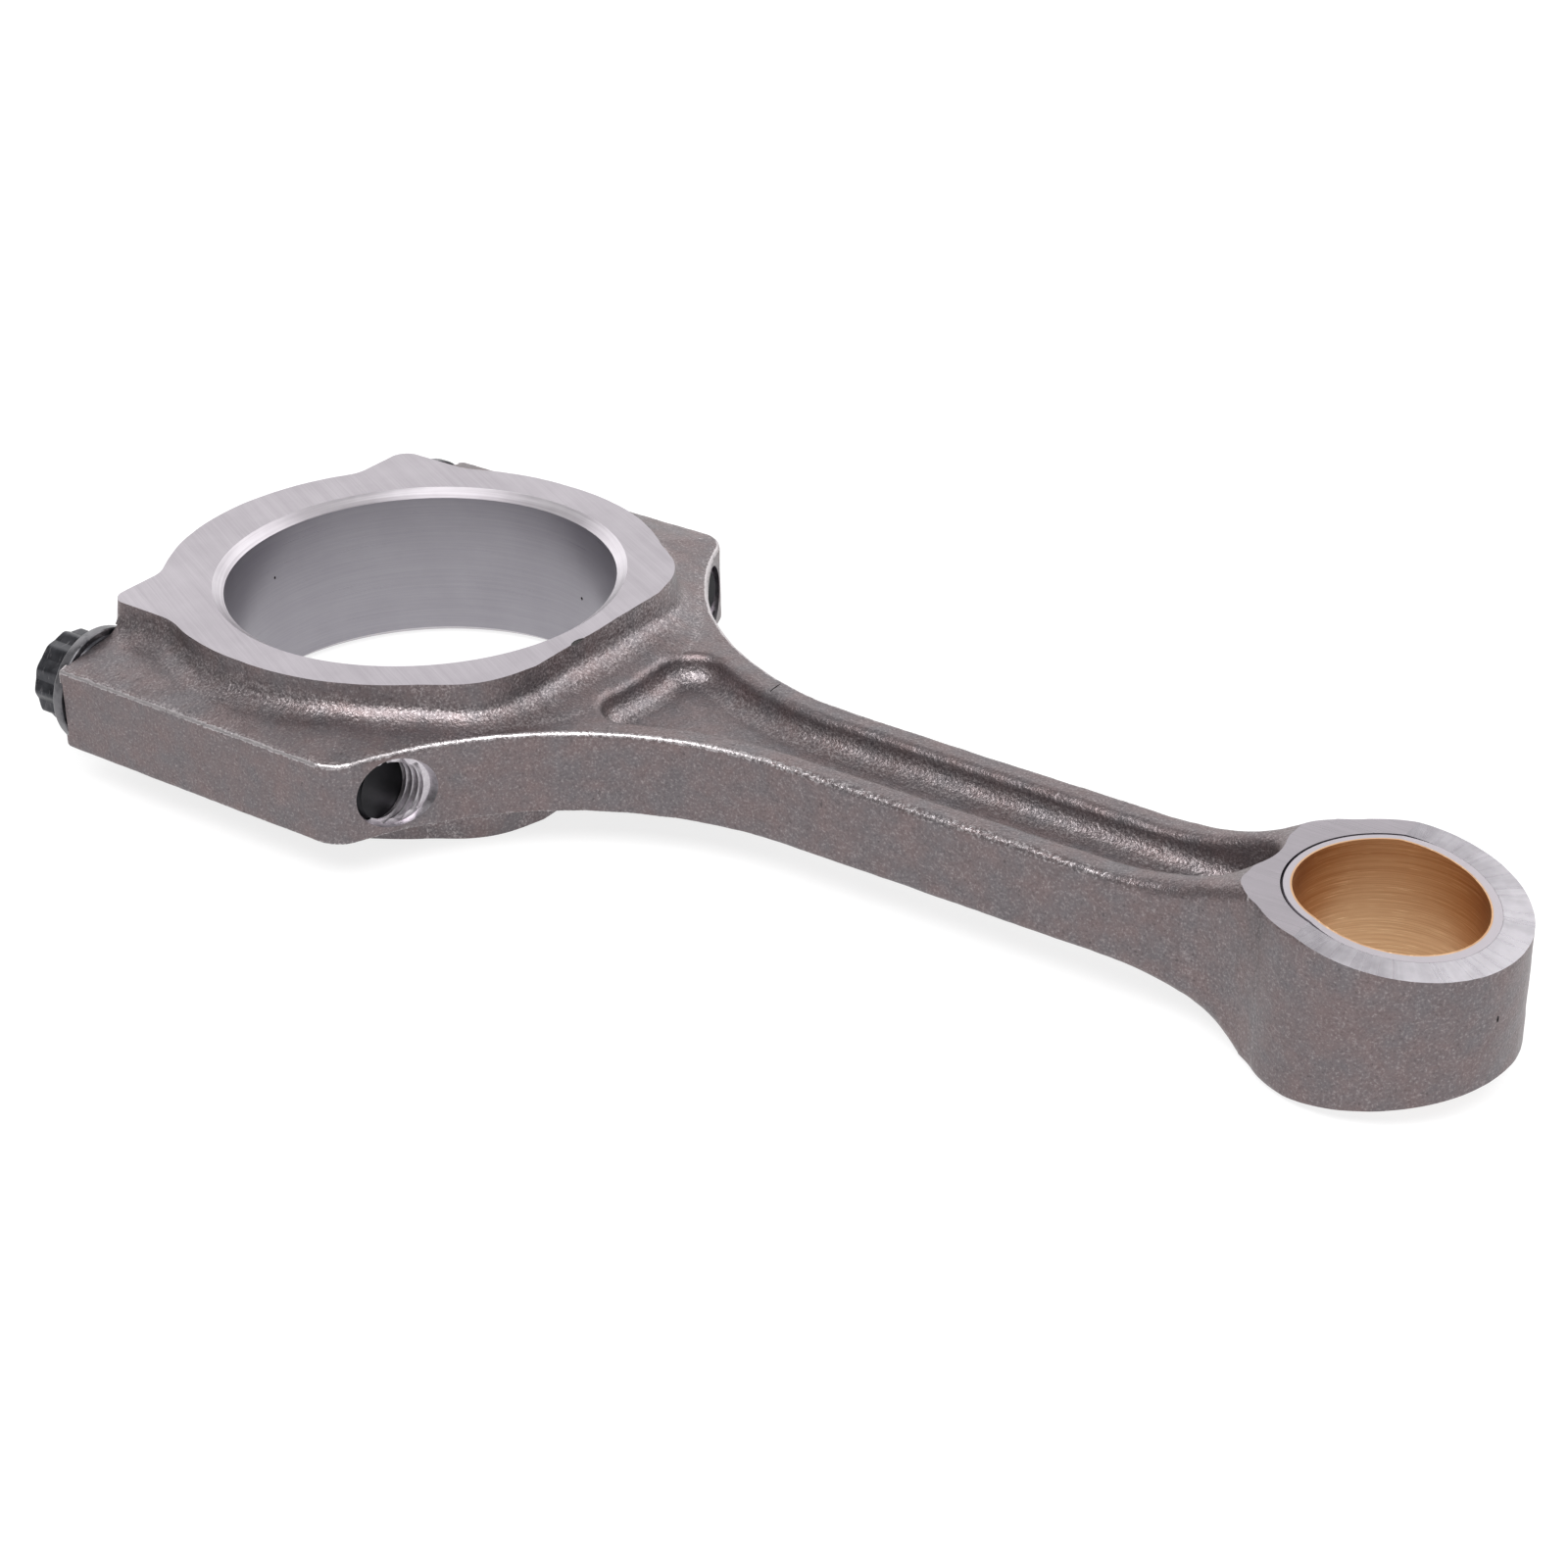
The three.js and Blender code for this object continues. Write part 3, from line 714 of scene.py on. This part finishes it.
def bolt(side, materials):
    """Cap bolt: twelve-point head, cone and flange with softened rims, plain shank, thread and tip."""
    oxide, place = materials["oxide"], bolt_axis(side)
    head = prism("head", double_hexagon(HEAD_FLATS), HEAD_END_X, CONE_X + 1, [oxide], place)
    corner = HEAD_FLATS / 2 / math.cos(math.pi / 6)
    crown = [
        (0, HEAD_END_X), (corner - 1.6 * HEAD_CHAMFER, HEAD_END_X), (corner, HEAD_END_X + HEAD_CHAMFER),
        (corner, CONE_X + 1), (0, CONE_X + 1),
    ]
    combine(head, turned("crown", crown, [oxide] * 4, BOLT_SEGMENTS, place), "INTERSECT")
    tip_r = THREAD_MINOR_R - THREAD_CLEARANCE
    body = [
        (0, CONE_X - 0.4), (CONE_TOP_R - 0.7, CONE_X - 0.4), (CONE_TOP_R - 0.2, CONE_X - 0.1),
        (FLANGE_R - 0.4, FLANGE_X - 0.3), (FLANGE_R - 0.1, FLANGE_X), (FLANGE_R, FLANGE_X + 0.3),
        (FLANGE_R, SEAT_X - 0.45), (FLANGE_R - 0.15, SEAT_X - 0.3), (WASHER_R, SEAT_X - 0.25),
        (WASHER_R - 0.2, SEAT_X), (BOLT_SHANK_R, SEAT_X), (BOLT_SHANK_R, THREAD_START_X - 1),
        (tip_r, THREAD_START_X), (tip_r, THREAD_START_X + 1), (0, THREAD_START_X + 1),
    ]
    stem = turned("stem", body, [oxide] * 14, BOLT_SEGMENTS, place)
    major = THREAD_MAJOR_R - THREAD_CLEARANCE
    screw = thread("screw", THREAD_START_X, BOLT_TIP_X, tip_r, major, oxide, side)
    tip = [
        (0, THREAD_START_X), (tip_r, THREAD_START_X), (major, THREAD_START_X + TIP_CHAMFER),
        (major, BOLT_TIP_X - TIP_CHAMFER), (major - TIP_CHAMFER, BOLT_TIP_X), (0, BOLT_TIP_X),
    ]
    combine(screw, turned("tip", tip, [oxide] * 5, BOLT_SEGMENTS, place), "INTERSECT")
    return union([head, stem, screw])


# ---- Finishing meshes ----


def bending(field, points):
    """How sharply a field's surface bends: 1/radius, above zero on edges and below zero in hollows."""
    steps = [sign * step for step in np.eye(3) * BEND_REACH for sign in (-1, 1)]
    return (sum(field(points + step) for step in steps) - 6 * field(points)) / BEND_REACH**2


def mark_edges_and_hollows(piece):
    """Stores how sharply each point bends as an outer edge, for rubbed wear and painted highlight, cut back
    on the underside as painted shade, and how deep it lies in a hollow, for the painted highlight there, from
    0 to 1.
    """
    points = np.empty(len(piece.data.vertices) * 3, np.float32)
    piece.data.vertices.foreach_get("co", points)
    points = points.reshape(-1, 3).astype(float)
    edge = bending(mirrored_blank, points) * EDGE_R * (mirrored_blank(points) > -BEND_REACH)
    # painted shade: less edge brightening on the underside, where the floor beneath lies in shadow
    edge *= 1 - UNDERSIDE_EDGE_SHADE * smooth_step(-points[:, 2], 0, SIDE_HALF)
    hollow = -bending(mirrored_forging, points) * POCKET_FLOOR_R
    for name, values in (("edge", edge), ("hollow", hollow)):
        attribute = piece.data.attributes.new(name, "FLOAT", "POINT")
        attribute.data.foreach_set("value", np.clip(values, 0, 1).astype(np.float32))


def sharpen(piece, smooth_names=()):
    """Smooth shading, broken where materials meet and at corners outside the named smooth materials."""
    mesh = piece.data
    mesh.polygons.foreach_set("use_smooth", np.ones(len(mesh.polygons), bool))
    totals = np.empty(len(mesh.polygons), np.int32)
    kinds = np.empty(len(mesh.polygons), np.int32)
    normals = np.empty(len(mesh.polygons) * 3, np.float32)
    edges = np.empty(len(mesh.loops), np.int32)
    mesh.polygons.foreach_get("loop_total", totals)
    mesh.polygons.foreach_get("material_index", kinds)
    mesh.polygons.foreach_get("normal", normals)
    mesh.loops.foreach_get("edge_index", edges)
    face = np.repeat(np.arange(len(totals)), totals)
    order = np.argsort(edges, kind="stable")
    face, edges = face[order], edges[order]
    paired = np.flatnonzero(edges[:-1] == edges[1:])
    one, two = face[paired], face[paired + 1]
    normals = normals.reshape(-1, 3)
    bent = (normals[one] * normals[two]).sum(axis=1) < math.cos(math.radians(CREASE))
    smooth = [i for i, material in enumerate(mesh.materials) if material.name in smooth_names]
    bent &= ~np.isin(kinds[one], smooth)
    sharp = np.zeros(len(mesh.edges), bool)
    sharp[edges[paired]] = bent | (kinds[one] != kinds[two])
    attribute = mesh.attributes.get("sharp_edge") or mesh.attributes.new("sharp_edge", "BOOLEAN", "EDGE")
    attribute.data.foreach_set("value", sharp)


def place_piece(piece, name, body, node):
    piece.name = piece.data.name = name
    piece.data.transform(TO_FRAME)
    piece.data.update()
    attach(piece, body)
    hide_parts(node)


# ---- Materials ----


def add(tree, kind, inputs=None, **settings):
    """A node with its settings, and its inputs set to values or linked to sockets."""
    node = tree.nodes.new(kind)
    for name, value in settings.items():
        setattr(node, name, value)
    for name, value in (inputs or {}).items():
        if isinstance(value, bpy.types.NodeSocket):
            tree.links.new(value, node.inputs[name])
        else:
            node.inputs[name].default_value = value
    return node


def new_material(name, **values):
    """A material with a bare Principled shader; values are its constant inputs."""
    material = bpy.data.materials.new(name)
    material.use_nodes = True
    tree = material.node_tree
    shader = tree.nodes["Principled BSDF"]
    for key, value in values.items():
        shader.inputs[key.replace("_", " ")].default_value = value
    return material, tree, shader


def place_in_mm(tree, centre=CRANK_CENTRE):
    """Object coordinates in millimetres from centre."""
    coordinates = add(tree, "ShaderNodeTexCoord").outputs["Object"]
    moved = add(tree, "ShaderNodeVectorMath", {0: coordinates, 1: centre}, operation="SUBTRACT")
    scaled = add(tree, "ShaderNodeVectorMath", {0: moved.outputs[0], "Scale": 1 / MM}, operation="SCALE")
    return scaled.outputs[0]


def stretched(tree, place, scales, turn=0.0):
    turned_place = add(tree, "ShaderNodeMapping", {"Vector": place, "Rotation": (0, 0, turn)}).outputs[0]
    return add(tree, "ShaderNodeMapping", {"Vector": turned_place, "Scale": scales}).outputs[0]


def noise(tree, place, scale, detail=2.0, roughness=0.5):
    inputs = {"Vector": place, "Scale": scale, "Detail": detail, "Roughness": roughness}
    return add(tree, "ShaderNodeTexNoise", inputs).outputs["Fac"]


def spread(tree, value, low, high, to_low=0.0, to_high=1.0):
    inputs = {"Value": value, "From Min": low, "From Max": high, "To Min": to_low, "To Max": to_high}
    return add(tree, "ShaderNodeMapRange", inputs).outputs[0]


def mix(tree, share, one, two):
    node = add(tree, "ShaderNodeMix", data_type="RGBA")
    for socket, value in ((node.inputs[0], share), (node.inputs[6], one), (node.inputs[7], two)):
        if isinstance(value, bpy.types.NodeSocket):
            tree.links.new(value, socket)
        else:
            socket.default_value = value if isinstance(value, float) else (*value, 1)
    return node.outputs[2]


def math_node(tree, operation, one, two=0.0):
    return add(tree, "ShaderNodeMath", {0: one, 1: two}, operation=operation).outputs[0]


def bump(tree, height, depth):
    """Normals bumped as if height were depth millimetres deep."""
    inputs = {"Height": height, "Distance": depth * MM, "Strength": 1.0}
    return add(tree, "ShaderNodeBump", inputs).outputs[0]


def attribute(tree, name):
    return add(tree, "ShaderNodeAttribute", attribute_name=name).outputs["Fac"]


def finish(tree, shader, **sockets):
    for name, socket in sockets.items():
        tree.links.new(socket, shader.inputs[name.replace("_", " ")])


def forged_material():
    """Shot-blasted forged skin: warm grey with sparkling grain, with a painted highlight in the hollows and
    on the outer edges, where it adds to real rubbed wear.
    """
    material, tree, shader = new_material("forged_skin", Metallic=0.9)
    place = place_in_mm(tree)
    grain = noise(tree, place, 2.4, 2, 0.6)
    speck = noise(tree, place, 3.0, 2, 0.7)
    pits = noise(tree, place, 0.9, 2, 0.6)
    patch = noise(tree, place, 0.22, 3, 0.6)
    cloud = noise(tree, place, 0.5, 4, 0.65)
    colour = mix(tree, spread(tree, patch, 0.35, 0.65), SKIN_WARM, SKIN_GREY)
    colour = mix(tree, spread(tree, cloud, 0.35, 0.7, 0.0, 0.22), colour, SKIN_DARK)
    colour = mix(tree, spread(tree, speck, 0.54, 0.72, 0.0, 0.5), colour, SKIN_SPECK_AND_SHEEN)
    colour = mix(tree, spread(tree, speck, 0.45, 0.28, 0.0, 0.6), colour, SKIN_DARK)
    colour = mix(tree, spread(tree, pits, 0.70, 0.76, 0.0, 0.7), colour, SKIN_DARK)
    # painted highlight: the fillets and hollows are lightened, grainy, where the key light's reflection falls
    painted_hollow_highlight = spread(tree, speck, 0.46, 0.66, 0.0, 0.6)
    painted_hollow_highlight = math_node(tree, "MULTIPLY", attribute(tree, "hollow"), painted_hollow_highlight)
    colour = mix(tree, painted_hollow_highlight, colour, SKIN_SPECK_AND_SHEEN)
    # real rubbed wear on the outer edges, brightened further as a painted highlight
    ragged = math_node(tree, "ADD", attribute(tree, "edge"), spread(tree, grain, 0.3, 0.7, -0.3, 0.3))
    wear_and_highlight = spread(tree, ragged, 0.5, 0.8)
    colour = mix(tree, wear_and_highlight, colour, RUBBED_EDGE_AND_HIGHLIGHT)
    roughness = spread(tree, wear_and_highlight, 0, 1, 0.41, 0.33)
    height = math_node(tree, "ADD", grain, math_node(tree, "MULTIPLY", cloud, 0.6))
    normal = bump(tree, height, 0.1)
    finish(tree, shader, Base_Color=colour, Roughness=roughness, Normal=normal)
    return material


def lined_material(name, colours, scales, turn=0.0, roughness=0.35, depth=0.004):
    """Machined steel with fine marks along one direction; scales are marks per millimetre along each axis."""
    material, tree, shader = new_material(name, Metallic=1.0)
    place = place_in_mm(tree)
    lines = noise(tree, stretched(tree, place, scales, turn), 1.0, 3, 0.6)
    coarse = noise(tree, stretched(tree, place, [s / 5 for s in scales], turn), 1.0, 2, 0.5)
    haze = noise(tree, place, 0.12, 3, 0.6)
    lines = math_node(tree, "MULTIPLY", lines, 0.6)
    coarse = math_node(tree, "MULTIPLY", coarse, 0.4)
    both = math_node(tree, "ADD", lines, coarse)
    tone = math_node(tree, "ADD", both, spread(tree, haze, 0.3, 0.7, -0.08, 0.08))
    colour = mix(tree, spread(tree, tone, 0.35, 0.65), *colours)
    rough = spread(tree, both, 0.3, 0.7, roughness - 0.06, roughness + 0.06)
    finish(tree, shader, Base_Color=colour, Roughness=rough, Normal=bump(tree, both, depth))
    return material


def around(tree, place, streaks):
    """Coordinates that change only with the direction from the axis, for streaks that run outwards."""
    flat = add(tree, "ShaderNodeVectorMath", {0: place, 1: (1, 1, 0)}, operation="MULTIPLY").outputs[0]
    outward = add(tree, "ShaderNodeVectorMath", {0: flat}, operation="NORMALIZE").outputs[0]
    return stretched(tree, outward, (streaks, streaks, 0))


def taper_material():
    """Face-milled slope of the small end, with streaks that fan out from the pin bore."""
    material, tree, shader = new_material("tapered_face", Metallic=1.0)
    place = place_in_mm(tree, PIN_CENTRE)
    fan = noise(tree, around(tree, place, 16), 1.0, 3, 0.6)
    haze = noise(tree, place, 0.3, 3, 0.6)
    along = add(tree, "ShaderNodeSeparateXYZ", {0: place}).outputs["X"]
    tone = math_node(tree, "ADD", spread(tree, fan, 0, 1, 0.3, 0.7), spread(tree, haze, 0.3, 0.7, -0.1, 0.1))
    tone = math_node(tree, "ADD", tone, spread(tree, along, -4, EYE_R, -0.12, 0.16))
    colour = mix(tree, spread(tree, tone, 0.3, 0.7), (0.25, 0.235, 0.255), (0.48, 0.46, 0.49))
    rough = spread(tree, fan, 0.3, 0.7, 0.22, 0.38)
    finish(tree, shader, Base_Color=colour, Roughness=rough, Normal=bump(tree, fan, 0.02))
    return material


def bush_material():
    """Bronze bore with fine golden turning marks, on a steel back that shows on the end faces."""
    material, tree, shader = new_material("bush_bronze", Metallic=1.0)
    place = place_in_mm(tree, PIN_CENTRE)
    marks = noise(tree, stretched(tree, place, (0.06, 0.06, 7)), 1.0, 3, 0.65)
    scratch = noise(tree, stretched(tree, place, (0.25, 0.25, 16)), 1.0, 2, 0.5)
    bronze = mix(tree, spread(tree, marks, 0.3, 0.7), (0.46, 0.262, 0.135), (0.64, 0.41, 0.235))
    bronze = mix(tree, spread(tree, scratch, 0.62, 0.72), bronze, (0.85, 0.62, 0.38))
    flat = add(tree, "ShaderNodeVectorMath", {0: place, 1: (1, 1, 0)}, operation="MULTIPLY").outputs[0]
    radius = add(tree, "ShaderNodeVectorMath", {0: flat}, operation="LENGTH").outputs["Value"]
    back = math_node(tree, "GREATER_THAN", radius, PIN_BORE_R + BUSH_LINING)
    colour = mix(tree, back, bronze, (0.42, 0.39, 0.42))
    rough = spread(tree, marks, 0.3, 0.7, 0.3, 0.42)
    finish(tree, shader, Base_Color=colour, Roughness=rough, Normal=bump(tree, marks, 0.008))
    return material


def oxide_material():
    """Black-oxide bolt steel, scuffed lighter in fine streaks, with painted shade on its end deep in the
    tapped hole and a painted highlight on the flange's rim.
    """
    material, tree, shader = new_material("black_oxide", Metallic=0.8)
    place = place_in_mm(tree)
    cloud = noise(tree, place, 0.5, 4, 0.65)
    scuff = noise(tree, stretched(tree, place, (2.4, 0.5, 0.5)), 1.0, 4, 0.7)
    colour = mix(tree, spread(tree, cloud, 0.35, 0.65), (0.030, 0.031, 0.036), (0.062, 0.062, 0.070))
    colour = mix(tree, spread(tree, scuff, 0.58, 0.75), colour, (0.22, 0.21, 0.22))
    parts = add(tree, "ShaderNodeSeparateXYZ", {0: place}).outputs
    across = math_node(tree, "SUBTRACT", math_node(tree, "ABSOLUTE", parts["Y"]), BOLT_Y)
    across = add(tree, "ShaderNodeCombineXYZ", {"Y": across, "Z": parts["Z"]}).outputs[0]
    radius = add(tree, "ShaderNodeVectorMath", {0: across}, operation="LENGTH").outputs["Value"]
    # painted shade: the bolt's end, deep in the tapped hole, is made nearly black
    tip = spread(tree, parts["X"], BOLT_TIP_X - THREAD_PITCH, BOLT_TIP_X - TIP_CHAMFER)
    colour = mix(tree, tip, colour, (0.012, 0.012, 0.014))
    # painted highlight: the flange's rim is made lighter grey where it would catch light
    rim = math_node(tree, "ADD", radius, spread(tree, cloud, 0.3, 0.7, -0.5, 0.5))
    colour = mix(tree, spread(tree, rim, FLANGE_R - 0.7, FLANGE_R, 0.0, 0.8), colour, (0.17, 0.165, 0.175))
    rough = spread(tree, cloud, 0.3, 0.7, 0.3, 0.45)
    finish(tree, shader, Base_Color=colour, Roughness=rough, Normal=bump(tree, scuff, 0.02))
    return material


def grainy_material(name, dark, light, scale, depth, roughness):
    """Bare steel with an even grain, for the broken joint and the pits."""
    material, tree, shader = new_material(name, Metallic=0.9, Roughness=roughness)
    grain = noise(tree, place_in_mm(tree), scale, 4, 0.7)
    colour = mix(tree, spread(tree, grain, 0.35, 0.65), dark, light)
    finish(tree, shader, Base_Color=colour, Normal=bump(tree, grain, depth))
    return material


def steel_materials():
    dull, mid, bright = (0.33, 0.303, 0.33), (0.42, 0.39, 0.42), (0.62, 0.59, 0.62)
    shaded = (0.275, 0.262, 0.29), (0.32, 0.308, 0.335)
    grinding = math.radians(27)
    return {
        "forged": forged_material(),
        "ground": lined_material("ground_face", (dull, mid), (0.06, 5, 1), grinding),
        "flat": lined_material("milled_face", ((0.27, 0.25, 0.27), dull), (0.12, 6, 1), 0.0, 0.3, 0.008),
        "taper": taper_material(),
        "bore": lined_material("bored_wall", shaded, (0.12, 0.12, 12), 0.0, 0.32),
        "chamfer": lined_material("bore_chamfer", (mid, bright), (0.05, 0.05, 6), 0.0, 0.4),
        "cut": lined_material("cut_thread", (mid, bright), (1.5, 3, 3), 0.0, 0.35, 0.01),
        "pit": grainy_material("pit", (0.03, 0.03, 0.03), (0.12, 0.11, 0.11), 5, 0.03, 0.7),
        "fracture": grainy_material("broken_joint", (0.20, 0.20, 0.21), (0.42, 0.42, 0.43), 3, 0.12, 0.5),
        "bush": bush_material(),
        "oxide": oxide_material(),
    }


# ---- Surroundings ----


def floor():
    material, _, shader = new_material("pale_floor", Roughness=0.7, Emission_Strength=FLOOR_GLOW)
    shader.inputs["Base Color"].default_value = (FLOOR_TONE, FLOOR_TONE, FLOOR_TONE, 1)
    shader.inputs["Emission Color"].default_value = (1, 1, 1, 1)
    outline = [(x * FLOOR_HALF, y * FLOOR_HALF) for x, y in ((-1, -1), (1, -1), (1, 1), (-1, 1))]
    piece = prism("floor", outline, -FLOOR_DEPTH, 0, [material], UPRIGHT)


def soft_light(name, place, size, radiance):
    """A soft box aimed at the rod; radiance is how bright its face looks beside the white floor."""
    light = bpy.data.lights.new(name, "AREA")
    light.shape, light.size, light.size_y = "RECTANGLE", *size
    light.energy = radiance * math.pi * size[0] * size[1]
    lamp = bpy.data.objects.new(name, light)
    lamp.location = place
    lamp.rotation_euler = (-Vector(place)).to_track_quat("-Z", "Y").to_euler()
    lamp.visible_camera = False
    bpy.context.scene.collection.objects.link(lamp)


def from_camera_side(distance, elevation, turn):
    """A place at distance and elevation, turned in degrees from the camera's azimuth."""
    azimuth, height = math.radians(CAMERA_AZIMUTH + turn), math.radians(elevation)
    return (
        distance * math.cos(height) * math.sin(azimuth),
        -distance * math.cos(height) * math.cos(azimuth),
        distance * math.sin(height),
    )


def lights():
    world = bpy.data.worlds.new("studio")
    bpy.context.scene.world = world
    world.use_nodes = True
    background = world.node_tree.nodes["Background"]
    background.inputs["Color"].default_value = (1, 1, 1, 1)
    background.inputs["Strength"].default_value = WORLD_LIGHT
    for name, distance, elevation, turn, size, radiance in LIGHTS:
        soft_light(name, from_camera_side(distance, elevation, turn), size, radiance)


def camera():
    azimuth, elevation, roll = (math.radians(a) for a in (CAMERA_AZIMUTH, CAMERA_ELEVATION, CAMERA_ROLL))
    back = Vector((
        math.cos(elevation) * math.sin(azimuth),
        -math.cos(elevation) * math.cos(azimuth),
        math.sin(elevation),
    ))
    data = bpy.data.cameras.new("camera")
    data.lens, data.sensor_width = CAMERA_LENS, 36.0
    view = bpy.data.objects.new("camera", data)
    turn = Matrix.Rotation(azimuth, 4, "Z") @ Matrix.Rotation(math.pi / 2 - elevation, 4, "X")
    turn = turn @ Matrix.Rotation(roll, 4, "Z")
    view.matrix_world = Matrix.Translation(Vector(CAMERA_AIM) + CAMERA_DISTANCE * back) @ turn
    bpy.context.scene.collection.objects.link(view)
    bpy.context.scene.camera = view


# ---- The scene ----

MATERIALS = steel_materials()
rod, cap = rod_and_cap(MATERIALS)
for part, part_name, part_body, part_node in (
    (rod, "forged_rod", "rod", "rod_body"),
    (cap, "fractured_cap", "cap", "big_end_cap"),
):
    mark_edges_and_hollows(part)
    sharpen(part, ("forged_skin", "broken_joint"))
    place_piece(part, part_name, part_body, part_node)
for bolt_side, bolt_name in ((-1, "near"), (1, "far")):
    fastener = bolt(bolt_side, MATERIALS)
    sharpen(fastener)
    place_piece(fastener, f"{bolt_name}_cap_bolt", f"bolt_{bolt_name}", f"cap_bolt_{bolt_name}")
liner = bush(MATERIALS)
sharpen(liner)
place_piece(liner, "pin_bush", "rod", "small_end_bush")

floor()
lights()
camera()
bpy.context.scene.view_settings.view_transform = "Standard"
